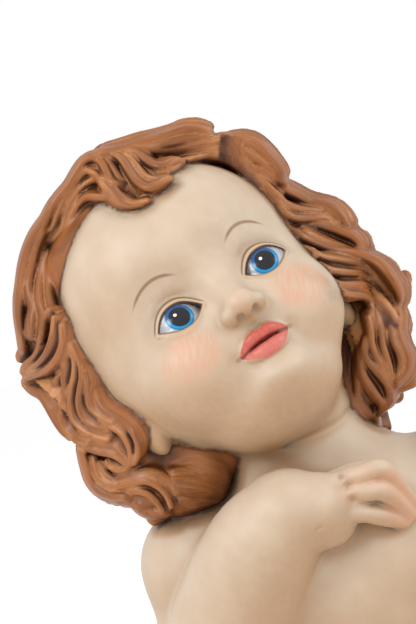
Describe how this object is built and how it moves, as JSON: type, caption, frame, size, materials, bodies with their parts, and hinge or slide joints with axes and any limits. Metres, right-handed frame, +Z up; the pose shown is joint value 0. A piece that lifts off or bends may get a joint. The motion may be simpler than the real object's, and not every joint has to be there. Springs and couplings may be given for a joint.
{
  "type": "infant jesus bust",
  "caption": "Life-size bust of an infant with curled hair, head leaning and lifted, right hand laid on the chest, cut flat below the chest.",
  "frame": {"origin": "on the flat underside, under the middle of the chest", "axes": "+Z up, the figure faces -Y, and its right side is -X"},
  "size_m": [0.2037, 0.1701, 0.2567],
  "materials": {
    "painted_resin": "satin"
  },
  "bodies": {
    "root": {"child_bust": "painted_resin"}
  },
  "joints": []
}
